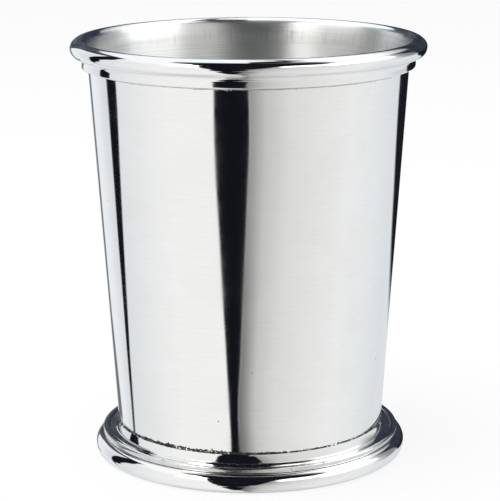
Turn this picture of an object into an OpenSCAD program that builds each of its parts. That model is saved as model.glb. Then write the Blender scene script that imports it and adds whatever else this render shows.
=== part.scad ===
// Julep cup of cast and turned pewter.
// The table is at z = 0 and the cup's axis is the z axis. Lengths are millimetres.

/* [Cup] */
// Overall height, from the table to the crest of the lip
height = 95.25; // [85:0.25:110]
// Outside diameter of the tapered wall, carried down to the table
wall_foot_d = 60; // [54:0.5:66]
// Outside diameter of the tapered wall, carried up to the crest
wall_mouth_d = 72.9; // [68:0.1:80]
// Thickness of the wall, measured level
wall_t = 1.3; // [0.9:0.1:2]

/* [Rim moulding] */
// How far the lip stands out past the wall
lip_reach = 3.55; // [2.8:0.05:4.5]
// How far the crest of the lip stands out past the wall
crest_reach = 1.5; // [0.8:0.05:2.2]
// Height of the crest above the widest ring of the lip
lip_rise = 1.75; // [1.2:0.05:2.4]
// Depth of the lip's underside below its widest ring
lip_drop = 2.2; // [1.6:0.05:2.8]
// How full the lip's outer shoulder is, up to the crest: 1 is a slope, 2 is an ellipse
crest_fullness = 1.7; // [1.3:0.1:2]
// How square the lip's underside is: 2 is an ellipse
lip_fullness = 2.3; // [2:0.1:3.5]
// Height of the rounding from the crest down the inside of the mouth
flare_h = 4.05; // [3.4:0.05:4.8]
// How far the collar under the lip stands out past the wall
collar_reach = 1; // [0.8:0.05:1.6]
// Height of the collar
collar_h = 2.3; // [2.1:0.1:3]
// How far the cove between the collar and the lip spreads past the collar
cove_reach = 0.35; // [0.2:0.05:0.5]
// Height of that cove, which is the upper part of the collar
cove_h = 1.2; // [0.6:0.1:1.5]
// Radius of the collar's lower edge
collar_edge_r = 0.3; // [0.15:0.05:0.5]

/* [Foot moulding] */
// Height of the foot, up to the solder line on the wall
foot_h = 7.4; // [6.8:0.1:8.2]
// How far the bottom roll stands out past the wall
roll_reach = 5.75; // [5.2:0.05:6.6]
// Height of the bottom roll
roll_h = 4.1; // [3.7:0.1:4.5]
// Height of the widest ring of the bottom roll
roll_waist_h = 1.9; // [1.4:0.1:2.4]
// How square the upper half of the bottom roll is: 2 is an ellipse
roll_fullness = 2.35; // [2:0.05:3.5]
// How far the bead above the roll stands out past the wall
bead_reach = 4.1; // [3.8:0.05:4.4]
// Height of the widest ring of the bead
bead_waist_h = 4.95; // [4.7:0.05:5.2]
// How far the crest of the bead stands out past the wall
bead_crest_reach = 3; // [2.75:0.05:3.4]
// Height of the crest of the bead
bead_crest_h = 5.6; // [5.35:0.05:5.9]
// How square the bead is above its widest ring: 2 is an ellipse
bead_fullness = 2.4; // [2:0.1:3.5]
// Depth of the crease under the bead
crease_depth = 0.25; // [0.1:0.05:0.4]
// How far the ledge between the neck and the bead stands out past the wall
ledge_reach = 2.3; // [2:0.05:2.6]
// Height of the ledge
ledge_h = 5.4; // [5.2:0.05:5.6]
// Depth of the quirk, the fine groove between the ledge and the bead
quirk_depth = 0.3; // [0.1:0.05:0.4]
// Width of the quirk
quirk_w = 0.1; // [0.05:0.01:0.15]
// Radius of the cove between the neck and the ledge
neck_cove_r = 0.25; // [0.1:0.05:0.3]
// How far the neck spreads from its top down to that cove
neck_spread = 0.35; // [0.2:0.05:0.5]
// How hollow the neck is: 1 is straight
neck_hollow = 1.6; // [1:0.1:2.5]
// Width of the neck's level top, on which the solder lies
landing_w = 0.18; // [0.1:0.02:0.3]
// How far the outer edge of the face that rests on the table stands out past the wall
rest_reach = 4.6; // [4:0.1:5]
// Width of the face that rests on the table
rest_w = 3; // [2:0.1:3.6]

/* [Floor] */
// Height of the seat inside the foot, on which the wall and the floor stand
seat_h = 3.4; // [2.8:0.1:4]
// Thickness of the metal under that seat
seat_t = 1.3; // [0.9:0.1:1.8]
// How far the seat reaches in past the wall's inside
seat_reach = 2; // [1.2:0.1:3]
// Thickness of the floor
floor_t = 1.4; // [1:0.1:2]
// Rise of the floor at its centre
floor_rise = 0.5; // [0:0.1:0.8]

/* [Solder] */
// Thickness of the film of solder in each joint
film_t = 0.12; // [0.08:0.01:0.2]
// Height of the fillet over the foot
foot_solder_h = 0.45; // [0.3:0.05:0.7]
// How far the fillet under the collar spreads past the film
rim_leg = 0.12; // [0.05:0.01:0.25]
// How far the fillet round the floor spreads past the film
floor_leg = 0.9; // [0.5:0.1:1.2]

/* [Hidden] */
$fn = 180;

// Steps in each rounded stretch of an outline
curve_steps = 14;
// Steps in each small cove, fillet or rounded edge
edge_steps = 5;

// Radii that the mouldings are measured from
foot_r = wall_foot_d / 2;
mouth_r = wall_mouth_d / 2;

// Levels of the rim moulding, from the crest down
lip_z = height - lip_rise;
collar_top_z = lip_z - lip_drop;
collar_bottom_z = collar_top_z - collar_h;
wall_top_z = height - flare_h;

// Level of the floor's flat border
floor_z = seat_h + floor_t;

// The wall's two faces at level z
taper = (mouth_r - foot_r) / height;
function wall_outside(z) = foot_r + taper * z;
function wall_inside(z) = wall_outside(z) - wall_t;

// The face at level z of what is soldered round the wall, and of what is soldered inside it
function round_wall(z) = wall_outside(z) + film_t;
function within_wall(z) = wall_inside(z) - film_t;

// Points on part of an ellipse, or of a squarer curve where fullness is over 2
function sign_power(x, p) = sign(x) * pow(abs(x), p);
function rounding(centre, reach, rise, from, to, steps, fullness = 2) = [
    for (i = [0 : steps])
        let (a = from + (to - from) * i / steps)
            [centre.x + reach * sign_power(cos(a), 2 / fullness),
             centre.y + rise * sign_power(sin(a), 2 / fullness)]
];

module turned(outline) {
    rotate_extrude() polygon(outline);
}

// A hollow fillet of solder against the leaning wall. Its corner is on the wall's face.
// It spreads by across on the level face, and by up on the wall.
function fillet(corner, across, up) = [
    for (p = rounding([corner.x + across, corner.y + up], -across, -up, 90, 0, edge_steps))
        [p.x + taper * (p.y - corner.y), p.y]
];

// The tapered sleeve between the mouldings
module body_wall() {
    color("gainsboro") turned([
        [wall_inside(seat_h), seat_h],
        [wall_outside(seat_h), seat_h],
        [wall_outside(wall_top_z), wall_top_z],
        [wall_inside(wall_top_z), wall_top_z]
    ]);
}

// The lip and its collar, rebated to cap the top edge of the wall. Inside the mouth the lip
// comes down to the wall at the wall's own lean.
module rim_moulding() {
    lip_r = mouth_r + lip_reach;
    crest_r = mouth_r + crest_reach;
    collar_r = mouth_r + collar_reach;
    cove_edge_r = collar_r + cove_reach;
    inside_r = wall_inside(wall_top_z);
    flare_reach = crest_r - taper * flare_h - inside_r;
    flare = [
        for (p = rounding([inside_r + flare_reach, wall_top_z], flare_reach, flare_h,
                          90, 180, curve_steps))
            [p.x + taper * (p.y - wall_top_z), p.y]
    ];
    color("silver") turned(concat(
        [[round_wall(wall_top_z), wall_top_z],
         [round_wall(collar_bottom_z), collar_bottom_z]],
        rounding([collar_r - collar_edge_r, collar_bottom_z + collar_edge_r],
                 collar_edge_r, collar_edge_r, -90, 0, edge_steps),
        rounding([cove_edge_r, collar_top_z - cove_h], -cove_reach, cove_h, 0, 90,
                 curve_steps),
        rounding([cove_edge_r, lip_z], lip_r - cove_edge_r, lip_drop, -90, 0, curve_steps,
                 lip_fullness),
        rounding([crest_r, lip_z], lip_r - crest_r, lip_rise, 0, 90, curve_steps,
                 crest_fullness),
        flare
    ));
}

// The bottom roll, the bead, the quirk and ledge behind the bead, and the neck, with the
// inner seat that carries the wall and the floor
module foot_moulding() {
    roll_r = foot_r + roll_reach;
    bead_r = foot_r + bead_reach;
    crease_r = bead_r - crease_depth;
    crest_r = foot_r + bead_crest_reach;
    crest_rise = bead_crest_h - bead_waist_h;
    ledge_r = foot_r + ledge_reach;
    neck_r = round_wall(foot_h) + landing_w;
    neck_low_r = neck_r + neck_spread;
    neck_low_z = ledge_h + neck_cove_r;
    rest_r = foot_r + rest_reach;
    seat_r = wall_inside(seat_h) - seat_reach;
    neck = [
        for (i = [0 : curve_steps])
            let (share = 1 - i / curve_steps)
                [neck_r + neck_spread * pow(share, neck_hollow),
                 foot_h - share * (foot_h - neck_low_z)]
    ];
    color("silver") turned(concat(
        [[rest_r - rest_w, 0]],
        rounding([rest_r, roll_waist_h], roll_r - rest_r, roll_waist_h, -90, 0, curve_steps),
        rounding([crease_r, roll_waist_h], roll_r - crease_r, roll_h - roll_waist_h,
                 0, 90, curve_steps, roll_fullness),
        rounding([crease_r, bead_waist_h], crease_depth, bead_waist_h - roll_h,
                 -90, 0, edge_steps),
        rounding([crest_r, bead_waist_h], bead_r - crest_r, crest_rise, 0, 90, curve_steps,
                 bead_fullness),
        rounding([crest_r, bead_waist_h], ledge_r + quirk_w - crest_r, crest_rise, 90, 15,
                 curve_steps, bead_fullness),
        [[ledge_r, ledge_h - quirk_depth],
         [ledge_r, ledge_h]],
        rounding([neck_low_r + neck_cove_r, neck_low_z], -neck_cove_r, -neck_cove_r,
                 90, 0, edge_steps),
        neck,
        [[round_wall(foot_h), foot_h],
         [round_wall(seat_h), seat_h],
         [seat_r, seat_h],
         [seat_r, seat_h - seat_t],
         [rest_r - rest_w - seat_t, seat_h - seat_t]]
    ));
}

// The disc let into the lower end of the wall, pressed up inside its flat border
module floor_disc() {
    seat_r = wall_inside(seat_h) - seat_reach;
    dome_r = min(seat_r, within_wall(floor_z) - floor_leg);
    dome = [
        for (i = [0 : curve_steps])
            let (share = i / curve_steps)
                [dome_r * share, floor_rise * (1 - share * share)]
    ];
    color("gainsboro") turned(concat(
        [for (p = dome) [p.x, seat_h + p.y]],
        [[within_wall(seat_h), seat_h],
         [within_wall(floor_z), floor_z]],
        [for (i = [curve_steps : -1 : 0]) [dome[i].x, floor_z + dome[i].y]]
    ));
}

// Solder between the wall and the collar, with a fillet under the collar
module rim_solder() {
    leg = film_t + rim_leg;
    color("dimgray") turned(concat(
        [[wall_outside(wall_top_z), wall_top_z],
         [round_wall(wall_top_z), wall_top_z],
         [round_wall(collar_bottom_z), collar_bottom_z]],
        fillet([wall_outside(collar_bottom_z), collar_bottom_z], leg, -leg)
    ));
}

// Solder between the wall and the foot, with the fillet that shows on top of the neck
module foot_solder() {
    color("dimgray") turned(concat(
        [[wall_outside(seat_h), seat_h],
         [round_wall(seat_h), seat_h],
         [round_wall(foot_h), foot_h]],
        fillet([wall_outside(foot_h), foot_h], film_t + landing_w, foot_solder_h)
    ));
}

// Solder round the edge of the floor, with a fillet in the corner inside the cup
module floor_solder() {
    leg = film_t + floor_leg;
    color("dimgray") turned(concat(
        [[wall_inside(seat_h), seat_h],
         [within_wall(seat_h), seat_h],
         [within_wall(floor_z), floor_z]],
        fillet([wall_inside(floor_z), floor_z], -leg, leg)
    ));
}

body_wall();
rim_moulding();
foot_moulding();
floor_disc();
rim_solder();
foot_solder();
floor_solder();
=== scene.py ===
"""A julep cup of polished pewter: the finish and the fine forms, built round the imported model.

Every piece is turned about the z axis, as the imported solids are. Lengths are in metres.
"""
import math

import bmesh
import bpy
from mathutils import Matrix, Vector, noise


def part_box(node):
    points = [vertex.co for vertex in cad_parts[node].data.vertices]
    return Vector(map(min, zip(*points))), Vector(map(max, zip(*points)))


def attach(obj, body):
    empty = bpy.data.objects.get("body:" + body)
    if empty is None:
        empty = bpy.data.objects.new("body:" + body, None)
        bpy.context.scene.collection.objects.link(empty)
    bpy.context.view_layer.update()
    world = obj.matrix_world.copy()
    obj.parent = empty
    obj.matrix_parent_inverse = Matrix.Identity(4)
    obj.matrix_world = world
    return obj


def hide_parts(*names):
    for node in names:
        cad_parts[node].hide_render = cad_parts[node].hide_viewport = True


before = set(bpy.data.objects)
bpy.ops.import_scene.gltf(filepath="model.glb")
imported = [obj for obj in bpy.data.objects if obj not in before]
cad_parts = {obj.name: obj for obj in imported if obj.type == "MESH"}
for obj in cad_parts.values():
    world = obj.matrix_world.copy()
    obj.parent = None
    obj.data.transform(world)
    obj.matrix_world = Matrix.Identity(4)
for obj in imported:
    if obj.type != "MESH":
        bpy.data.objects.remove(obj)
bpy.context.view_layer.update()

MM = 0.001

# Steps round the axis, and along each rounded stretch of an outline
TURN_STEPS = 360
SOLDER_STEPS = 1440
ROUND_STEPS = 22
EDGE_STEPS = 8
# Longest straight step along an outline, and the short steps that keep its ends crisp
LONG_STEP = 4 * MM
END_STEP = 0.08 * MM
# Sharpest turn of an outline that still shades as a curve
CREASE_ANGLE = math.radians(28)
# Points nearer than this to each other are one point, and nearer to the axis are on it
TOUCH = 1e-6


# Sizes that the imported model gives

wall_low, wall_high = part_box("body_wall")
rim_low, rim_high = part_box("rim_moulding")
foot_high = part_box("foot_moulding")[1]
floor_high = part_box("floor_disc")[1]

height = rim_high[2]
lip_r = rim_high[0]
collar_bottom_z = rim_low[2]
wall_top_z = wall_high[2]
wall_top_r = wall_high[0]
seat_h = wall_low[2]
foot_h = foot_high[2]
roll_r = foot_high[0]
floor_dome_z = floor_high[2]

# Sizes of the wall and the film of solder on it
WALL_FOOT_R = 30 * MM
WALL_T = 1.3 * MM
FILM_T = 0.12 * MM

# Sizes of the rim moulding
LIP_RISE = 1.75 * MM
LIP_DROP = 2.2 * MM
LIP_FULLNESS = 2.3
CREST_FULLNESS = 1.7
CREST_REACH = 1.5 * MM
COLLAR_REACH = 1 * MM
COVE_REACH = 0.35 * MM
COVE_H = 1.2 * MM
COLLAR_EDGE_R = 0.3 * MM

# Sizes of the foot moulding
ROLL_H = 4.1 * MM
ROLL_WAIST_H = 1.9 * MM
ROLL_FULLNESS = 1.85
BEAD_REACH = 4.1 * MM
BEAD_WAIST_H = 4.95 * MM
BEAD_CREST_REACH = 3 * MM
BEAD_CREST_H = 5.6 * MM
BEAD_FULLNESS = 2.4
CREASE_DEPTH = 0.25 * MM
LEDGE_REACH = 2.3 * MM
LEDGE_H = 5.4 * MM
LEDGE_DROP = 0.11 * MM
QUIRK_DEPTH = 0.3 * MM
QUIRK_W = 0.1 * MM
NECK_COVE_R = 0.25 * MM
NECK_SPREAD = 0.35 * MM
NECK_HOLLOW = 1.6
LANDING_W = 0.18 * MM
FOOT_SOLDER_H = 0.45 * MM
REST_REACH = 4.6 * MM
REST_W = 3 * MM
SEAT_T = 1.3 * MM
SEAT_REACH = 2 * MM

# Where the finish on the bead changes, in degrees up from its waist
CREASE_END = -60
MOTTLED_END = 50
QUIRK_START = 25
QUIRK_END = 15

# Sizes of the floor and of the other two fillets of solder
FLOOR_T = 1.4 * MM
FLOOR_LEG = 0.9 * MM
RIM_LEG = 0.12 * MM

taper = (wall_top_r - WALL_FOOT_R) / wall_top_z
mouth_r = WALL_FOOT_R + taper * height
floor_z = seat_h + FLOOR_T
lip_z = height - LIP_RISE
collar_top_z = lip_z - LIP_DROP
collar_r = mouth_r + COLLAR_REACH
bead_r = WALL_FOOT_R + BEAD_REACH
crease_r = bead_r - CREASE_DEPTH
ledge_r = WALL_FOOT_R + LEDGE_REACH
seat_r = WALL_FOOT_R + taper * seat_h - WALL_T - SEAT_REACH


def wall_outside(z):
    """Radius of the outside of the wall at a height."""
    return WALL_FOOT_R + taper * z


def wall_inside(z):
    """Radius of the inside of the wall at a height."""
    return wall_outside(z) - WALL_T


# Outlines

def sign_power(x, p):
    """A power that keeps the sign of what it is taken of."""
    return math.copysign(abs(x) ** p, x)


def rounding(centre, reach, rise, start, end, fullness=2.0, steps=ROUND_STEPS):
    """Points on part of an ellipse, or of a squarer curve where fullness is over 2."""
    points = []
    for i in range(steps + 1):
        a = math.radians(start + (end - start) * i / steps)
        points.append((centre[0] + reach * sign_power(math.cos(a), 2 / fullness),
                       centre[1] + rise * sign_power(math.sin(a), 2 / fullness)))
    return points


def straight(a, b):
    """Points from a to b, with a short step at each end, so that smooth shading stays even."""
    length = math.dist(a, b)
    if length < 3 * END_STEP:
        return [a, b]
    count = max(1, math.ceil((length - 2 * END_STEP) / LONG_STEP))
    marks = [0, END_STEP]
    marks += [END_STEP + (length - 2 * END_STEP) * i / count for i in range(1, count + 1)]
    marks.append(length)
    return [(a[0] + (b[0] - a[0]) * m / length, a[1] + (b[1] - a[1]) * m / length)
            for m in marks]


def fillet(corner, across, up):
    """A hollow fillet against the leaning wall, from the level face to the wall."""
    centre = (corner[0] + across, corner[1] + up)
    arc = rounding(centre, -across, -up, 90, 0, steps=EDGE_STEPS)
    return [(r + taper * (z - corner[1]), z) for r, z in arc]


def joined(*stretches):
    """One closed outline from (points, material) stretches. Each point keeps the material of
    the stretch that starts at it."""
    outline = []
    for points, material in stretches:
        for r, z in points:
            if outline and math.dist(outline[-1][:2], (r, z)) < TOUCH:
                outline.pop()
            outline.append((r, z, material))
    if math.dist(outline[0][:2], outline[-1][:2]) < TOUCH:
        outline.pop()
    return outline


# Meshes

def finish_mesh(name, bm, materials):
    """Makes an object of the mesh, shaded smooth but for its sharp turns."""
    bmesh.ops.recalc_face_normals(bm, faces=bm.faces)
    mesh = bpy.data.meshes.new(name)
    bm.to_mesh(mesh)
    bm.free()
    for material in materials:
        mesh.materials.append(material)
    for polygon in mesh.polygons:
        polygon.use_smooth = True
    mesh.set_sharp_from_angle(angle=CREASE_ANGLE)
    piece = bpy.data.objects.new(name, mesh)
    bpy.context.scene.collection.objects.link(piece)
    return piece


def turned_ring(bm, r, z, shape, steps):
    """The points that one point of an outline passes through. On the axis they are one."""
    if r < TOUCH:
        return [bm.verts.new((0, 0, z))] * steps
    ring = []
    for i in range(steps):
        a = math.tau * i / steps
        new_r, new_z = shape(a, r, z) if shape else (r, z)
        ring.append(bm.verts.new((new_r * math.cos(a), new_r * math.sin(a), new_z)))
    return ring


def turned(name, outline, materials, shape=None, steps=TURN_STEPS):
    """Turns a closed outline of (radius, height, material) points about the z axis.
    shape may move a point: it takes the angle, radius and height and returns the last two."""
    bm = bmesh.new()
    rings = [turned_ring(bm, r, z, shape, steps) for r, z, _ in outline]
    for low, high, (_, _, material) in zip(rings, rings[1:] + rings[:1], outline):
        if low[0] is low[1] and high[0] is high[1]:
            # Both lie on the axis, with no face between them
            continue
        place = materials.index(material)
        for i in range(steps):
            j = (i + 1) % steps
            corners = dict.fromkeys((low[i], low[j], high[j], high[i]))
            bm.faces.new(list(corners)).material_index = place
    return finish_mesh(name, bm, materials)


def stand_for(piece, node):
    """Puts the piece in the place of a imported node."""
    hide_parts(node)
    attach(piece, "root")


# Node helpers

class Graph:
    """Builds a node tree. A value may be a number, a vector or another node's output."""

    def __init__(self, tree):
        self.tree = tree
        tree.nodes.clear()

    def add(self, kind, inputs=(), out=0, **settings):
        """Adds a node and gives one of its outputs, if it has any."""
        node = self.tree.nodes.new(kind)
        for key, value in settings.items():
            setattr(node, key, value)
        for key, value in dict(inputs).items():
            self.put(node.inputs[key], value)
        return node.outputs[out] if len(node.outputs) else None

    def put(self, socket, value):
        if isinstance(value, bpy.types.NodeSocket):
            self.tree.links.new(value, socket)
        else:
            socket.default_value = value

    def math(self, operation, a, b=0.0):
        return self.add("ShaderNodeMath", {0: a, 1: b}, operation=operation)

    def times(self, value, *others):
        for other in others:
            value = self.math("MULTIPLY", value, other)
        return value

    def most(self, value, *others):
        """The highest of the values."""
        for other in others:
            value = self.math("MAXIMUM", value, other)
        return value

    def ramp(self, value, low, high, to_low=0.0, to_high=1.0, smooth=False):
        """Turns low into to_low and high into to_high, and holds those further out."""
        kind = "SMOOTHSTEP" if smooth else "LINEAR"
        return self.add("ShaderNodeMapRange", {"Value": value, 1: low, 2: high, 3: to_low,
                                               4: to_high}, interpolation_type=kind)

    def band(self, value, start, end):
        """1 in a band that fades in between the limits of start, and out between those of
        end."""
        return self.times(self.ramp(value, *start), self.ramp(value, *end, 1, 0))

    def between(self, value, low, high, soft):
        """1 where the value lies between low and high, with soft edges."""
        over = self.ramp(self.math("SUBTRACT", value, low), -soft, soft, smooth=True)
        under = self.ramp(self.math("SUBTRACT", high, value), -soft, soft, smooth=True)
        return self.times(over, under)

    def curve(self, value, points):
        """Straight lines through (value, result) points."""
        xs, ys = zip(*points)
        low, high = min(ys), max(ys)
        node = self.tree.nodes.new("ShaderNodeFloatCurve")
        line = node.mapping.curves[0]
        while len(line.points) < len(points):
            line.points.new(0.5, 0.5)
        for point, (x, y) in zip(line.points, points):
            point.location = ((x - xs[0]) / (xs[-1] - xs[0]), (y - low) / (high - low))
            point.handle_type = "VECTOR"
        node.mapping.update()
        self.put(node.inputs["Value"], self.ramp(value, xs[0], xs[-1]))
        return self.ramp(node.outputs[0], 0, 1, low, high)

    def mix(self, factor, a, b):
        """A number between a and b. The node keeps its numbers at inputs 2 and 3."""
        return self.add("ShaderNodeMix", {0: factor, 2: a, 3: b}, data_type="FLOAT")

    def blend(self, factor, a, b, how="MIX"):
        """A colour between a and b. The node keeps its colours at inputs 6 and 7."""
        return self.add("ShaderNodeMix", {0: factor, 6: a, 7: b}, out=2, data_type="RGBA",
                        blend_type=how)

    def stretched(self, scale):
        """Object coordinates times a scale along each axis."""
        place = self.add("ShaderNodeTexCoord", out="Object")
        return self.add("ShaderNodeVectorMath", {0: place, 1: scale}, operation="MULTIPLY")

    def round_axis(self, around, along):
        """Coordinates that run round the axis with no seam, in cells a radian, and along it,
        in cells a metre."""
        place = self.add("ShaderNodeTexCoord", out="Object")
        flat = self.add("ShaderNodeVectorMath", {0: place, 1: (1, 1, 0)}, operation="MULTIPLY")
        unit = self.add("ShaderNodeVectorMath", {0: flat}, operation="NORMALIZE")
        ring = self.add("ShaderNodeVectorMath", {0: unit, 1: (around,) * 3},
                        operation="MULTIPLY")
        lift = self.add("ShaderNodeVectorMath", {0: place, 1: (0, 0, along)},
                        operation="MULTIPLY")
        return self.add("ShaderNodeVectorMath", {0: ring, 1: lift}, operation="ADD")

    def noise(self, where, scale=1.0, detail=3.0, roughness=0.55, distortion=0.0):
        return self.add("ShaderNodeTexNoise", {"Vector": where, "Scale": scale,
                                               "Detail": detail, "Roughness": roughness,
                                               "Distortion": distortion}, out="Fac")

    def grain(self, scale, **settings):
        """Noise over the object, with a scale in cells a metre along each axis."""
        return self.noise(self.stretched(scale), **settings)

    def cells(self, scale):
        """How far it is to the nearest of many scattered points, as a share of a cell."""
        return self.add("ShaderNodeTexVoronoi", {"Vector": self.stretched(scale),
                                                 "Scale": 1.0}, out="Distance")

    def bump(self, level, distance, under=None):
        inputs = {"Height": level, "Distance": distance}
        if under is not None:
            inputs["Normal"] = under
        return self.add("ShaderNodeBump", inputs, out="Normal")

    def height(self):
        place = self.add("ShaderNodeTexCoord", out="Object")
        return self.add("ShaderNodeSeparateXYZ", {0: place}, out="Z")


def new_material(name):
    material = bpy.data.materials.new(name)
    material.use_nodes = True
    return material, Graph(material.node_tree)


def surface(graph, colour, roughness, normal, metallic=1.0, anisotropy=0.0, turn=0.0,
            tangent=None):
    """Joins the parts of a metal's look to the material's output."""
    inputs = {"Base Color": colour, "Metallic": metallic, "Roughness": roughness,
              "Normal": normal, "Anisotropic": anisotropy, "Anisotropic Rotation": turn}
    if tangent is not None:
        inputs["Tangent"] = tangent
    shader = graph.add("ShaderNodeBsdfPrincipled", inputs)
    graph.add("ShaderNodeOutputMaterial", {"Surface": shader})


# Materials. Scales are in cells a metre along each axis, and depths are of relief. The limits
# of a ramp over noise are shares of the noise, which runs from 0 to 1.

PEWTER = (0.865, 0.87, 0.872, 1)
PEWTER_WARM = (0.842, 0.842, 0.83, 1)
PEWTER_DULL = (0.5, 0.5, 0.485, 1)
PEWTER_DARK = (0.1, 0.1, 0.105, 1)

# The mirror finish
POLISHED_ROUGHNESS = 0.045
WAVE_SCALE = (55, 55, 38)
WAVE_DEPTH = 0.05 * MM
HAIR_SCALE = (260, 260, 5200)
HAIR_DEPTH = 0.0006 * MM
LINE_SCALE = (150, 150, 2300)
LINE_DARK = 0.05
SMUDGE_SCALE = (90, 90, 90)
PIT_SCALE = (260, 260, 260)
PIT_FIELD_SCALE = (170, 170, 170)
PIT_DARK = 0.8


def polished_pewter(name):
    """Mirror finish, buffed round the cup: faint waves, hairlines, smudges and a few pits."""
    material, g = new_material(name)
    waves = g.grain(WAVE_SCALE, detail=1.0)
    hairs = g.grain(HAIR_SCALE, detail=2.0)
    lines = g.grain(LINE_SCALE, detail=3.0, roughness=0.6)
    smudge = g.grain(SMUDGE_SCALE, detail=4.0, distortion=0.6)
    field = g.grain(PIT_FIELD_SCALE, detail=0.0)
    pit = g.times(g.ramp(g.cells(PIT_SCALE), 0.035, 0.06, 1, 0), g.ramp(field, 0.62, 0.64))
    tint = g.blend(g.ramp(smudge, 0.35, 0.75), PEWTER, PEWTER_WARM)
    tint = g.blend(g.ramp(lines, 0.42, 0.68, 0.0, LINE_DARK), tint, PEWTER_DULL)
    tint = g.blend(g.times(pit, PIT_DARK), tint, PEWTER_DARK)
    rough = g.math("ADD", POLISHED_ROUGHNESS, g.ramp(smudge, 0.4, 0.8, 0.0, 0.05))
    rough = g.math("ADD", rough, g.ramp(hairs, 0.55, 0.8, 0.0, 0.04))
    normal = g.bump(waves, WAVE_DEPTH)
    normal = g.bump(hairs, HAIR_DEPTH, under=normal)
    surface(g, tint, rough, normal)
    return material


# The turned inside, with the heights between which its streaks come in and go out, and
# those between which it turns into the polished mouth
SATIN = (0.98, 0.98, 0.965, 1)
SATIN_WARM = (0.95, 0.95, 0.93, 1)
SATIN_ROUGHNESS = 0.43
MOUTH_ROUGHNESS = 0.09
SATIN_ANISOTROPY = 0.97
SATIN_TURN = 0.25
RING_SCALE = (30, 30, 2600)
RING_DEPTH = 0.006 * MM
RING_DARK = 0.36
BROAD_RING_SCALE = (20, 20, 700)
BROAD_RING_DEPTH = 0.008 * MM
SATIN_PATCH_SCALE = (110, 110, 110)
STREAK_ROUND = 52.0
STREAK_ALONG = 40.0
STREAK_DEPTH = 0.008 * MM
STREAK_DARK = 0.4
STREAK_START = (height - 6.4 * MM, height - 4.4 * MM)
STREAK_END = (height - 3 * MM, height - 1.2 * MM)
MOUTH_START = (height - 1.6 * MM, height - 0.2 * MM)


def satin_pewter(name):
    """The lathe-turned inside: fine rings that draw reflections out up and down the wall."""
    material, g = new_material(name)
    rings = g.grain(RING_SCALE, detail=4.0, roughness=0.65)
    broad = g.grain(BROAD_RING_SCALE, detail=2.0)
    patch = g.grain(SATIN_PATCH_SCALE, detail=3.0)
    marks = g.noise(g.round_axis(STREAK_ROUND, STREAK_ALONG), detail=4.0, roughness=0.7)
    streaks = g.times(g.band(g.height(), STREAK_START, STREAK_END), g.ramp(marks, 0.48, 0.72))
    tint = g.blend(g.ramp(patch, 0.3, 0.8), SATIN, SATIN_WARM)
    tint = g.blend(g.ramp(rings, 0.5, 0.72, 0.0, RING_DARK), tint, PEWTER_DULL)
    tint = g.blend(g.times(streaks, STREAK_DARK), tint, PEWTER_DULL)
    rough = g.math("ADD", SATIN_ROUGHNESS, g.ramp(patch, 0.3, 0.8, 0.0, 0.05))
    rough = g.mix(g.ramp(g.height(), *MOUTH_START, smooth=True), rough, MOUTH_ROUGHNESS)
    normal = g.bump(rings, RING_DEPTH)
    normal = g.bump(broad, BROAD_RING_DEPTH, under=normal)
    normal = g.bump(streaks, STREAK_DEPTH, under=normal)
    tangent = g.add("ShaderNodeTangent", direction_type="RADIAL", axis="Z")
    surface(g, tint, rough, normal, anisotropy=SATIN_ANISOTROPY, turn=SATIN_TURN,
            tangent=tangent)
    return material


# The bead of the foot
BARE = (0.78, 0.78, 0.77, 1)
BARE_ROUGHNESS = 0.16
TARNISH_SCALE = (300, 300, 300)
CAST_GRAIN_SCALE = (2200, 2200, 3080)
CAST_GRAIN_DEPTH = 0.003 * MM
CAST_PIT_SCALE = (800, 800, 800)
TOOL_LINE_SCALE = (200, 200, 6500)


def mottled_pewter(name):
    """The bead that a buffing wheel misses: cast grain, small pits and grey tarnish."""
    material, g = new_material(name)
    patch = g.grain(TARNISH_SCALE, detail=4.0, roughness=0.6)
    grain = g.grain(CAST_GRAIN_SCALE, detail=3.0, roughness=0.7)
    lines = g.grain(TOOL_LINE_SCALE, detail=3.0)
    pit = g.times(g.ramp(g.cells(CAST_PIT_SCALE), 0.12, 0.24, 1.0, 0.0),
                  g.ramp(patch, 0.56, 0.64))
    tint = g.blend(g.ramp(patch, 0.4, 0.75, 0.0, 0.5), BARE, PEWTER_DULL)
    tint = g.blend(g.ramp(lines, 0.48, 0.7, 0.0, 0.6), tint, PEWTER_DULL)
    tint = g.blend(g.ramp(grain, 0.5, 0.75, 0.0, 0.4), tint, PEWTER_DULL)
    tint = g.blend(pit, tint, PEWTER_DARK)
    rough = g.math("ADD", BARE_ROUGHNESS, g.ramp(patch, 0.4, 0.7, 0.0, 0.12))
    surface(g, tint, rough, g.bump(grain, CAST_GRAIN_DEPTH))
    return material


# The underside, and the clean solder
CAST = (0.6, 0.6, 0.58, 1)
CAST_DARK = (0.42, 0.42, 0.41, 1)
SKIM_SCALE = (2600, 2600, 300)
SKIM_DEPTH = 0.008 * MM
CAST_PATCH_SCALE = (160, 160, 160)


def cast_pewter(name):
    """The underside of the foot: skimmed on the lathe and left grey."""
    material, g = new_material(name)
    rings = g.grain(SKIM_SCALE, detail=2.0)
    patch = g.grain(CAST_PATCH_SCALE, detail=5.0)
    tint = g.blend(g.ramp(patch, 0.35, 0.7), CAST, CAST_DARK)
    rough = g.ramp(patch, 0.3, 0.7, 0.34, 0.5)
    surface(g, tint, rough, g.bump(rings, SKIM_DEPTH))
    return material


# Painted shade in the grooves, together with what is left of old polish in them
SHADE_AND_RESIDUE = (0.11, 0.11, 0.115, 1)
SHADE_AND_RESIDUE_WORN = (0.22, 0.215, 0.21, 1)
SHADE_AND_RESIDUE_PALE = (0.36, 0.36, 0.35, 1)
SHADE_AND_RESIDUE_METALLIC = 0.3
CRUMB_SCALE = (2600, 2600, 2600)
CRUMB_DEPTH = 0.01 * MM
SHADE_AND_RESIDUE_PATCH_SCALE = (240, 240, 240)


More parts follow.
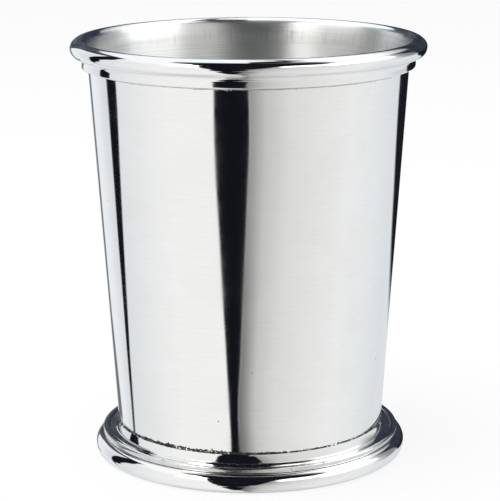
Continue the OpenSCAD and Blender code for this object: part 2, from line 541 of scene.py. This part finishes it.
def crease_shade_and_polish_residue(name):
    """Old polish packed into the quirk and the crease, where no cloth reaches, made darker still
    as painted shade.
    """
    material, g = new_material(name)
    crumbs = g.grain(CRUMB_SCALE, detail=4.0, roughness=0.7)
    patch = g.grain(SHADE_AND_RESIDUE_PATCH_SCALE, detail=3.0)
    tint = g.blend(g.ramp(crumbs, 0.4, 0.7), SHADE_AND_RESIDUE, SHADE_AND_RESIDUE_WORN)
    tint = g.blend(g.ramp(patch, 0.45, 0.75, 0.0, 0.5), tint, SHADE_AND_RESIDUE_PALE)
    rough = g.ramp(crumbs, 0.3, 0.7, 0.45, 0.75)
    surface(g, tint, rough, g.bump(crumbs, CRUMB_DEPTH), metallic=SHADE_AND_RESIDUE_METALLIC)
    return material


# The dark solder
SOLDER = (0.06, 0.059, 0.057, 1)
SOLDER_BRIGHT = (0.78, 0.78, 0.76, 1)
LUMP_SCALE = (1700, 1700, 1700)
LUMP_DEPTH = 0.05 * MM
SOLDER_PATCH_SCALE = (330, 330, 330)


def old_solder(name):
    """Solder gone dark with flux and polish, bright only on its high spots."""
    material, g = new_material(name)
    lumps = g.grain(LUMP_SCALE, detail=4.0, roughness=0.7)
    patch = g.grain(SOLDER_PATCH_SCALE, detail=3.0)
    worn = g.times(g.ramp(lumps, 0.5, 0.6), g.ramp(patch, 0.42, 0.54))
    tint = g.blend(worn, SOLDER, SOLDER_BRIGHT)
    rough = g.ramp(worn, 0, 1, 0.6, 0.26)
    surface(g, tint, rough, g.bump(lumps, LUMP_DEPTH))
    return material


# Pieces

def build_wall(polished, satin):
    outside_low = (wall_outside(seat_h), seat_h)
    outside_high = (wall_top_r, wall_top_z)
    inside_high = (wall_top_r - WALL_T, wall_top_z)
    inside_low = (wall_inside(seat_h), seat_h)
    outline = joined(
        (straight(inside_low, outside_low), satin),
        (straight(outside_low, outside_high), polished),
        (straight(outside_high, inside_high), satin),
        (straight(inside_high, inside_low), satin))
    piece = turned("wall_shell", outline, [polished, satin])
    stand_for(piece, "body_wall")


def build_rim(polished, satin):
    round_top = wall_top_r + FILM_T
    round_low = wall_outside(collar_bottom_z) + FILM_T
    edge_r = collar_r - COLLAR_EDGE_R
    crest_r = mouth_r + CREST_REACH
    cove_edge_r = collar_r + COVE_REACH
    inside_r = wall_top_r - WALL_T
    flare_h = height - wall_top_z
    flare_reach = crest_r - taper * flare_h - inside_r
    flare_centre = (inside_r + flare_reach, wall_top_z)
    flare = [(r + taper * (z - wall_top_z), z)
             for r, z in rounding(flare_centre, flare_reach, flare_h, 90, 180)]
    edge_z = collar_bottom_z + COLLAR_EDGE_R
    cove_z = collar_top_z - COVE_H
    outline = joined(
        (straight((inside_r, wall_top_z), (round_top, wall_top_z)), polished),
        (straight((round_top, wall_top_z), (round_low, collar_bottom_z)), polished),
        (straight((round_low, collar_bottom_z), (edge_r, collar_bottom_z)), polished),
        (rounding((edge_r, edge_z), COLLAR_EDGE_R, COLLAR_EDGE_R, -90, 0,
                  steps=EDGE_STEPS), polished),
        (straight((collar_r, edge_z), (collar_r, cove_z)), polished),
        (rounding((cove_edge_r, cove_z), -COVE_REACH, COVE_H, 0, 90), polished),
        (rounding((cove_edge_r, lip_z), lip_r - cove_edge_r, LIP_DROP, -90, 0,
                  LIP_FULLNESS), polished),
        (rounding((crest_r, lip_z), lip_r - crest_r, LIP_RISE, 0, 90,
                  CREST_FULLNESS), polished),
        (flare, satin))
    piece = turned("rim_ring", outline, [polished, satin])
    stand_for(piece, "rim_moulding")


def bead_stretches(polished, mottled, shade_and_residue):
    """The bead of the foot, from the crease under it to the quirk behind it."""
    low = (crease_r, BEAD_WAIST_H)
    low_reach = bead_r - crease_r
    low_rise = BEAD_WAIST_H - ROLL_H
    crest_r = WALL_FOOT_R + BEAD_CREST_REACH
    crest = (crest_r, BEAD_WAIST_H)
    outer_reach = bead_r - crest_r
    inner_reach = ledge_r + QUIRK_W - crest_r
    crest_rise = BEAD_CREST_H - BEAD_WAIST_H
    return [
        # The crease under the bead and the quirk behind it take the dark material: painted
        # shade, together with old polish residue
        (rounding(low, low_reach, low_rise, -90, CREASE_END, steps=EDGE_STEPS), shade_and_residue),
        (rounding(low, low_reach, low_rise, CREASE_END, 0, steps=EDGE_STEPS), mottled),
        (rounding(crest, outer_reach, crest_rise, 0, MOTTLED_END, BEAD_FULLNESS), mottled),
        (rounding(crest, outer_reach, crest_rise, MOTTLED_END, 90, BEAD_FULLNESS,
                  steps=EDGE_STEPS), polished),
        (rounding(crest, inner_reach, crest_rise, 90, QUIRK_START, BEAD_FULLNESS), polished),
        (rounding(crest, inner_reach, crest_rise, QUIRK_START, QUIRK_END, BEAD_FULLNESS,
                  steps=2), shade_and_residue),
        ([(ledge_r, LEDGE_H - QUIRK_DEPTH)], shade_and_residue)]


def neck_stretches(film_r, polished, mottled):
    """The ledge, the hollow neck over it, and the landing on top."""
    neck_r = film_r + LANDING_W
    cove_r = neck_r + NECK_SPREAD + NECK_COVE_R
    cove_z = LEDGE_H + NECK_COVE_R
    shares = [1 - i / ROUND_STEPS for i in range(ROUND_STEPS + 1)]
    neck = [(neck_r + NECK_SPREAD * share ** NECK_HOLLOW,
             foot_h - share * (foot_h - cove_z)) for share in shares]
    return [
        (straight((ledge_r, LEDGE_H - LEDGE_DROP), (cove_r, LEDGE_H)), polished),
        (rounding((cove_r, cove_z), -NECK_COVE_R, -NECK_COVE_R, 90, 0,
                  steps=EDGE_STEPS), polished),
        (neck, polished),
        (straight((neck_r, foot_h), (film_r, foot_h)), mottled)]


def build_foot(polished, mottled, cast, shade_and_residue):
    film_r = wall_outside(foot_h) + FILM_T
    film_low_r = wall_outside(seat_h) + FILM_T
    rest_r = WALL_FOOT_R + REST_REACH
    ring_r = rest_r - REST_W
    under_z = seat_h - SEAT_T
    outline = joined(
        (straight((ring_r, 0), (rest_r, 0)), cast),
        (rounding((rest_r, ROLL_WAIST_H), roll_r - rest_r, ROLL_WAIST_H, -90, 0), polished),
        (rounding((crease_r, ROLL_WAIST_H), roll_r - crease_r, ROLL_H - ROLL_WAIST_H, 0, 90,
                  ROLL_FULLNESS), polished),
        *bead_stretches(polished, mottled, shade_and_residue),
        *neck_stretches(film_r, polished, mottled),
        (straight((film_r, foot_h), (film_low_r, seat_h)), cast),
        (straight((film_low_r, seat_h), (seat_r, seat_h)), cast),
        (straight((seat_r, seat_h), (seat_r, under_z)), cast),
        (straight((seat_r, under_z), (ring_r - SEAT_T, under_z)), cast),
        (straight((ring_r - SEAT_T, under_z), (ring_r, 0)), cast))
    piece = turned("foot_ring", outline, [polished, mottled, cast, shade_and_residue])
    stand_for(piece, "foot_moulding")


def build_floor(satin, cast):
    edge_low_r = wall_inside(seat_h) - FILM_T
    edge_high_r = wall_inside(floor_z) - FILM_T
    dome_r = min(seat_r, edge_high_r - FLOOR_LEG)
    rise = floor_dome_z - floor_z
    shares = [i / ROUND_STEPS for i in range(ROUND_STEPS + 1)]
    under = [(dome_r * s, seat_h + rise * (1 - s * s)) for s in shares]
    over = [(dome_r * s, floor_z + rise * (1 - s * s)) for s in reversed(shares)]
    outline = joined(
        (under, cast),
        (straight(under[-1], (edge_low_r, seat_h)), cast),
        (straight((edge_low_r, seat_h), (edge_high_r, floor_z)), satin),
        (straight((edge_high_r, floor_z), over[0]), satin),
        (over, satin))
    piece = turned("floor_plate", outline, [satin, cast])
    stand_for(piece, "floor_disc")


# How fast the ragged edge of a run wanders, in cells a radian, and the share of its slow part
WANDER_WIDE = 5
WANDER_FINE = 38
WANDER_CRUMBS = 110
WIDE_SHARE = 0.4
# The smears: cells a radian of them and of the groups that they lie in, and the level of
# noise over which there is one
BLOTS = 70
BLOT_GROUPS = 17
BLOT_LEVEL = 0.3
# Where the two outer runs are thickest, round the axis, how closely they keep to it, and
# how much of its share a run has there
FOOT_HEAVY = math.radians(-118)
RIM_HEAVY = math.radians(-70)
HEAVY_FOCUS = 4
HEAVY_SHARE = 1.05


def ragged(corner, least, most, smear, seed, heavy=None, rest=0.5):
    """A shape for a run of solder. It spreads from its corner by a share that wanders between
    least and most, and here and there it is smeared further along the wall. heavy gives the
    angle where it is thickest, and rest how much of its share it has away from there."""
    def shape(a, r, z):
        out = r - corner[0]
        lift = z - corner[1]
        if math.hypot(out, lift) < TOUCH or lift * smear < 0:
            return r, z
        around = Vector((math.cos(a), math.sin(a), seed))
        wide = 0.5 + noise.noise(around * WANDER_WIDE)
        fine = 0.5 + 0.7 * noise.noise(around * WANDER_FINE)
        fine += 0.5 * noise.noise(around * WANDER_CRUMBS)
        wander = WIDE_SHARE * wide + (1 - WIDE_SHARE) * fine
        share = least + (most - least) * min(1, max(0, wander))
        weight = 1
        if heavy is not None:
            weight = max(0, math.cos(a - heavy)) ** HEAVY_FOCUS
            share *= rest + (HEAVY_SHARE - rest) * weight
        groups = 0.5 * noise.noise(around * BLOT_GROUPS)
        blot = max(0, noise.noise(around * BLOTS) + groups - BLOT_LEVEL)
        climb = lift * (share + abs(smear) * blot * weight)
        lean = taper * (climb - lift * share)
        return corner[0] + out * share + lean, corner[1] + climb
    return shape


def build_run(name, node, film, fillet_points, material, shape):
    """One run of solder: the film in the joint, and the fillet where it comes out."""
    outline = joined((film, material), (fillet_points, material))
    piece = turned(name, outline, [material], steps=SOLDER_STEPS, shape=shape)
    stand_for(piece, node)


def build_solder(dark, clean):
    outer = (wall_outside(foot_h), foot_h)
    film = [(wall_outside(seat_h), seat_h), (wall_outside(seat_h) + FILM_T, seat_h),
            (wall_outside(foot_h) + FILM_T, foot_h)]
    build_run("foot_bead", "foot_solder", film,
              fillet(outer, FILM_T + LANDING_W, FOOT_SOLDER_H), dark,
              ragged(outer, least=0.6, most=2.0, smear=2.6, seed=3, heavy=FOOT_HEAVY))

    under = (wall_outside(collar_bottom_z), collar_bottom_z)
    leg = FILM_T + RIM_LEG
    film = [(wall_top_r, wall_top_z), (wall_top_r + FILM_T, wall_top_z),
            (wall_outside(collar_bottom_z) + FILM_T, collar_bottom_z)]
    build_run("rim_bead", "rim_solder", film, fillet(under, leg, -leg), clean,
              ragged(under, least=1.4, most=2.2, smear=-4.0, seed=11, heavy=RIM_HEAVY,
                     rest=0.95))

    inner = (wall_inside(floor_z), floor_z)
    leg = FILM_T + FLOOR_LEG
    film = [(wall_inside(seat_h), seat_h), (wall_inside(seat_h) - FILM_T, seat_h),
            (wall_inside(floor_z) - FILM_T, floor_z)]
    build_run("floor_bead", "floor_solder", film, fillet(inner, -leg, leg), clean,
              ragged(inner, least=0.8, most=1.1, smear=0.3, seed=19))


# The studio: white cards with dark gaps between them, in degrees round from the camera
# (minus is to its left) and degrees up

# Left and right edge of the gap in front, and of the one at the left, by degrees up
FRONT_LEFT = (
    (-90, -14), (-62, -16.5), (-51, -18.5), (-44, -19.5), (-34, -21.5), (-27.4, -22),
    (-26.5, -16), (-25.9, -16.5), (-25, -17.9), (-24, -19.2), (-23, -20.2), (-22, -21.3),
    (-21, -22.2), (-20, -23), (-19.2, -23.6), (-18.2, -24.9), (-17.2, -25.3), (-16.7, -24.8),
    (-15, -24.3), (-9, -23.4), (-6, -25.5), (0, -27), (9, -28), (20, -31), (30, -33.5),
    (38, -36.5), (50, -40), (60, -44), (66, -50), (69, -74), (80, -78), (90, -78))
FRONT_RIGHT = (
    (-90, -9), (-62, -9), (-57, -8), (-44, -6.5), (-34, -4), (-27.4, -2), (-26.5, -8.8),
    (-25.9, -9.2), (-25.2, -10.5), (-24.6, -9), (-23.9, -7.5), (-22.9, -6.2), (-21.9, -4.7),
    (-20.7, -3), (-19.9, -2), (-19.2, -0.8), (-18.2, 0.6), (-17.2, 1.1), (-16.7, 0.3),
    (-15, 0), (-10, -0.5), (-8.6, -2), (-8, 0), (-6.5, 4), (0, 6), (7, 8), (15, 11),
    (31, 17), (40, 24), (47, 37), (57, 42), (66, 52), (70, 62), (90, 62))
SIDE_LEFT = (
    (-90, -127), (-30, -126), (-19, -124.4), (-17.5, -124), (-15, -123.1), (-12.5, -122),
    (-5, -120.5), (11, -119.5), (20, -120.5), (28, -121.5), (33, -123.5), (38, -127),
    (42, -127), (44, -117), (46, -113), (90, -113))
SIDE_RIGHT = (
    (-90, -124.5), (-30, -124.5), (-22, -121.3), (-19.7, -119.7), (-18.6, -117.7),
    (-17.5, -116.3), (-16.5, -114.6), (-15.5, -113.1), (-14.5, -111.6), (-13.5, -109.5),
    (-12.4, -109), (-9, -108.8), (0, -106), (6, -104.3), (12.5, -103), (20, -100.5),
    (26, -100.5), (32, -103.5), (38, -107.5), (43, -110), (90, -110))
# Lower edge of the gap overhead, by degrees round, and how dark it is there
TOP_EDGE = (
    (-180, 88), (-130, 84), (-118, 78), (-105, 66), (-94, 64), (-86, 60), (-72, 61),
    (-60, 60), (-53, 57.5), (-44, 50), (-38, 52), (34, 50), (38, 45), (52, 44), (64, 44),
    (72, 46), (79, 56), (85, 62), (95, 69), (105, 74), (125, 75), (135, 73), (145, 68.5),
    (155, 66), (165, 67), (172, 73), (180, 79))
TOP_DARK = (
    (-180, 0), (-130, 0), (-112, 0.3), (-105, 0.5), (-94, 0.85), (-86, 0.9), (-72, 1),
    (64, 1), (72, 0.9), (80, 0.8), (90, 0.85), (110, 1), (180, 1))
# Bright cards: left and right edge, lower and upper edge, and brightness
HOT_CARDS = (
    (55, 111, 20, 37, 4.5), (22, 50, 28, 38, 3.2), (-58, -27, 30, 54, 4.9),
    (126, 152, 46, 62, 2.2))
# Middle of a narrow gap high up behind the cup on the right, by degrees round
HIGH_GAP = ((-180, 60), (120, 73), (140, 70.5), (150, 68), (160, 64.5), (168, 60), (180, 42))
# Lower and upper edge of the dark end of the room, by degrees round
BACK_LOW = (
    (-180, 0), (-156, 0), (-150, 20), (-140, 27), (-130, 34), (-118, 42), (-100, 60),
    (100, 60), (126, 34), (135, 0), (139.3, -11.5), (142, -12.7), (146, -13.8),
    (149, -14.6), (155, -15.3), (166, -15.6), (173, -12.5), (176, -5), (180, 0))
BACK_HIGH = (
    (-180, 27), (-160, 28), (-150, 33), (-140, 38), (-130, 41), (-118, 43), (-100, 55),
    (100, 55), (110, 40), (130, 35), (140, 30), (150, 26), (180, 27))
# Brightness of the cards left of the front gap, by degrees round, and right of it, by degrees
# from its right edge
LEFT_TONE = ((-180, 1.0), (-140, 0.96), (-126, 0.84), (-105, 0.9), (-60, 1.02), (0, 1.01))
RIGHT_TONE = ((0, 0.33), (4, 0.42), (12, 0.62), (30, 0.81), (53, 0.89), (79, 0.97),
              (110, 0.93), (135, 0.85), (200, 0.85))
# A darker strip low down beside the front gap: how far out it fades and up, and its depth
STRIP_OUT = (1, 14)
STRIP_UP = (-25, -19)
STRIP_DEPTH = 0.45
# Each of these changes the cards' brightness. The pairs are where it starts and is complete.
GREY_ROUND = (98, 126)
GREY_START = (-10, -2)
GREY_END = (30, 42)
GREY_TONE = 0.3
HIGH_UP = (20, 50)
HIGH_TONE = 1.15
LOW_UP = (-50, -72)
LOW_TONE = 0.8
BEHIND_ROUND = (140, 172)
BEHIND_UP = (-14, -26)
BEHIND_TONE = 0.58
# The cards' colour, which is cooler behind the cup
CARD_WARM = (1, 1, 0.985, 1)
CARD_COOL = (0.945, 0.98, 1.015, 1)
COOL_ROUND = (60, 130)
# How soft the edges are, in degrees each way
RIGHT_SOFT = 1
HOT_SOFT_ROUND = 3
HOT_SOFT_UP = 9
FRONT_SOFT = 0.7
SIDE_SOFT = 0.8
BACK_SOFT = 0.9
TOP_SOFT = 1.5
# Where the gaps in front and at the left fade, and what is left of them
FRONT_LOW = (-64, -54)
FRONT_LEFTOVER = 0.1
SIDE_HIGH = (42, 46)
SIDE_LOW = (-34, -20)
SIDE_LEFTOVER = 0.2
# That narrow gap: how far from its middle it starts to fade and ends, where it comes in
# round the cup, and how dark it is
HIGH_GAP_HALF = (2, 4)
HIGH_GAP_ROUND = (124, 142)
HIGH_GAP_DARK = 0.9
# A dark upright behind the cup on the left. Its right edge moves in between two heights.
POST_LEFT = -164
POST_RIGHT = (-148.5, -155)
POST_RIGHT_UP = (-19.4, -16)
POST_UP = (-20, 0)
POST_SOFT_ROUND = 1.2
POST_SOFT_UP = 1
POST_DARK = 0.8
# The dark end of the room: where its own colour comes in, and the dim shapes seen in it
ROOM_UP = (-8, 4)
ROOM_DARK = 0.995
CLUTTER_SCALE = 7.0
CLUTTER_LIGHT = 0.15
GAP_TONE = (0.0065, 0.0075, 0.011, 1)
ROOM_TONE = (0.012, 0.02, 0.042, 1)
# What lights all but reflections, and what the camera sees
EVEN_LIGHT = (0.75, 0.75, 0.75, 1)
WHITE = (1, 1, 1, 1)


def card_tone(g, turn, rise, front_right):
    """How bright the cards are in each direction."""
    past_right = g.math("SUBTRACT", turn, front_right)
    on_right = g.ramp(past_right, -RIGHT_SOFT, RIGHT_SOFT)
    tone = g.mix(on_right, g.curve(turn, LEFT_TONE), g.curve(past_right, RIGHT_TONE))
    strip = g.times(g.ramp(past_right, *STRIP_OUT, STRIP_DEPTH, 0),
                    g.ramp(rise, *STRIP_UP, 1, 0), on_right)
    tone = g.times(tone, g.math("SUBTRACT", 1, strip))
    grey = g.times(g.ramp(turn, *GREY_ROUND, smooth=True), g.band(rise, GREY_START, GREY_END))
    tone = g.mix(grey, tone, GREY_TONE)
    tone = g.mix(g.ramp(rise, *HIGH_UP, smooth=True), tone, HIGH_TONE)
    tone = g.times(tone, g.ramp(rise, *LOW_UP, 1, LOW_TONE))
    behind = g.times(g.ramp(g.math("ABSOLUTE", turn), *BEHIND_ROUND, smooth=True),
                     g.ramp(rise, *BEHIND_UP, smooth=True))
    tone = g.mix(behind, tone, BEHIND_TONE)
    for left, right, low, high, strength in HOT_CARDS:
        card = g.times(g.between(turn, left, right, HOT_SOFT_ROUND),
                       g.between(rise, low, high, HOT_SOFT_UP))
        tone = g.mix(card, tone, strength)
    return tone


def gap_overhead(g, turn, rise):
    """The gap overhead, and the narrow one high up on the right."""
    over_edge = g.math("SUBTRACT", rise, g.curve(turn, TOP_EDGE))
    top = g.times(g.ramp(over_edge, -TOP_SOFT, TOP_SOFT), g.curve(turn, TOP_DARK))
    off_middle = g.math("ABSOLUTE", g.math("SUBTRACT", rise, g.curve(turn, HIGH_GAP)))
    narrow = g.times(g.ramp(off_middle, *HIGH_GAP_HALF, HIGH_GAP_DARK, 0),
                     g.ramp(turn, *HIGH_GAP_ROUND))
    return g.most(top, narrow)


def gaps_around(g, turn, rise, front_right):
    """The gaps in front and at the left, and the upright behind."""
    front = g.between(turn, g.curve(rise, FRONT_LEFT), front_right, FRONT_SOFT)
    front = g.times(front, g.ramp(rise, *FRONT_LOW, FRONT_LEFTOVER, 1))
    side = g.between(turn, g.curve(rise, SIDE_LEFT), g.curve(rise, SIDE_RIGHT), SIDE_SOFT)
    side = g.times(side, g.ramp(rise, *SIDE_HIGH, 1, 0),
                   g.ramp(rise, *SIDE_LOW, SIDE_LEFTOVER, 1))
    post_right = g.ramp(rise, *POST_RIGHT_UP, *POST_RIGHT)
    post = g.times(g.between(turn, POST_LEFT, post_right, POST_SOFT_ROUND),
                   g.between(rise, *POST_UP, POST_SOFT_UP), POST_DARK)
    return g.most(front, side, post)


def room_behind(g, way, turn, rise):
    """The dark end of the room, and how much of it has the room's own colour."""
    room = g.between(rise, g.curve(turn, BACK_LOW), g.curve(turn, BACK_HIGH), BACK_SOFT)
    high_up = g.ramp(rise, *ROOM_UP)
    clutter = g.noise(way, CLUTTER_SCALE, detail=4.0, roughness=0.6)
    shapes = g.times(high_up, g.ramp(clutter, 0.35, 0.65, 0, CLUTTER_LIGHT))
    room = g.times(room, g.math("SUBTRACT", ROOM_DARK, shapes))
    return room, g.times(room, high_up)


def studio(g):
    """What reflections see: the cards, with the dark gaps that polished metal needs."""
    way = g.add("ShaderNodeTexCoord", out="Generated")
    x = g.add("ShaderNodeSeparateXYZ", {0: way}, out="X")
    y = g.add("ShaderNodeSeparateXYZ", {0: way}, out="Y")
    z = g.add("ShaderNodeSeparateXYZ", {0: way}, out="Z")
    turn = g.math("DEGREES", g.math("ARCTAN2", x, g.times(y, -1)))
    rise = g.math("DEGREES", g.math("ARCSINE", z))

    front_right = g.curve(rise, FRONT_RIGHT)
    tint = g.blend(g.ramp(g.math("ABSOLUTE", turn), *COOL_ROUND), CARD_WARM, CARD_COOL)
    cards = g.blend(1.0, tint, card_tone(g, turn, rise, front_right), "MULTIPLY")
    room, room_colour = room_behind(g, way, turn, rise)
    gaps = g.most(gaps_around(g, turn, rise, front_right), gap_overhead(g, turn, rise), room)
    return g.blend(gaps, cards, g.blend(room_colour, GAP_TONE, ROOM_TONE))


def build_world():
    """The studio for reflections, plain white for the camera, and an even light for all else."""
    world = bpy.data.worlds.new("studio")
    bpy.context.scene.world = world
    world.use_nodes = True
    g = Graph(world.node_tree)
    glossy = g.add("ShaderNodeLightPath", out="Is Glossy Ray")
    through = g.add("ShaderNodeLightPath", out="Is Transmission Ray")
    colour = g.blend(g.most(glossy, through), EVEN_LIGHT, studio(g))
    camera = g.add("ShaderNodeLightPath", out="Is Camera Ray")
    colour = g.blend(camera, colour, WHITE)
    background = g.add("ShaderNodeBackground", {"Color": colour, "Strength": 1.0})
    g.add("ShaderNodeOutputWorld", {"Surface": background})


# The table, and the share of plain white that the camera sees in it
TABLE_R = 6.0
TABLE_SIDES = 96
TABLE_WHITE = (0.9, 0.9, 0.9, 1)
TABLE_PLAIN = 0.78


def build_table():
    """A wide white table. The camera sees it as white, with the cup's soft shadow on it."""
    bm = bmesh.new()
    bmesh.ops.create_circle(bm, cap_ends=True, segments=TABLE_SIDES, radius=TABLE_R)
    table = finish_mesh("table", bm, [])
    material, g = new_material("table_white")
    lit = g.add("ShaderNodeBsdfDiffuse", {"Color": TABLE_WHITE})
    plain = g.add("ShaderNodeEmission", {"Color": WHITE, "Strength": 1.0})
    camera = g.add("ShaderNodeLightPath", out="Is Camera Ray")
    share = g.times(camera, TABLE_PLAIN)
    mixed = g.add("ShaderNodeMixShader", {0: share, 1: lit, 2: plain})
    g.add("ShaderNodeOutputMaterial", {"Surface": mixed})
    table.data.materials.append(material)
    table.visible_glossy = False
    table.visible_transmission = False


# The lamp: how wide it is, its power in watts, and its place
LAMP_SIZE = 0.9
LAMP_POWER = 6.0
LAMP_PLACE = (-0.25, -0.1, 1.0)


def build_lamp():
    """One wide soft lamp overhead, for the shadow on the table."""
    lamp = bpy.data.lights.new("overhead", "AREA")
    lamp.shape = "DISK"
    lamp.size = LAMP_SIZE
    lamp.energy = LAMP_POWER
    holder = bpy.data.objects.new("overhead", lamp)
    holder.location = LAMP_PLACE
    holder.rotation_euler = (-holder.location).to_track_quat("-Z", "Y").to_euler()
    holder.visible_glossy = False
    bpy.context.scene.collection.objects.link(holder)


# The camera: its film and lens in mm, its nearest view and its place, and its tilt and roll
# in degrees
SENSOR_W = 36
LENS = 147.6
CLIP_START = 0.01
CAMERA_PLACE = (0.0002, -0.4582, 0.1522)
CAMERA_DOWN = 13.03
CAMERA_ROLL = -0.25


def build_camera():
    """The photograph's view: close in and looking down a little, through a long lens."""
    data = bpy.data.cameras.new("camera")
    data.sensor_width = SENSOR_W
    data.lens = LENS
    data.clip_start = CLIP_START
    camera = bpy.data.objects.new("camera", data)
    camera.matrix_world = (Matrix.Translation(CAMERA_PLACE)
                           @ Matrix.Rotation(math.radians(90 - CAMERA_DOWN), 4, "X")
                           @ Matrix.Rotation(math.radians(CAMERA_ROLL), 4, "Z"))
    bpy.context.scene.collection.objects.link(camera)
    bpy.context.scene.camera = camera


polished = polished_pewter("polished_pewter")
satin = satin_pewter("satin_pewter")
mottled = mottled_pewter("mottled_pewter")
cast = cast_pewter("cast_pewter")
solder = old_solder("old_solder")
shade_and_residue = crease_shade_and_polish_residue("crease_shade_and_polish_residue")

build_wall(polished, satin)
build_rim(polished, satin)
build_foot(polished, mottled, cast, shade_and_residue)
build_floor(satin, cast)
build_solder(solder, cast)
build_world()
build_table()
build_lamp()
build_camera()
bpy.context.scene.view_settings.view_transform = "Standard"
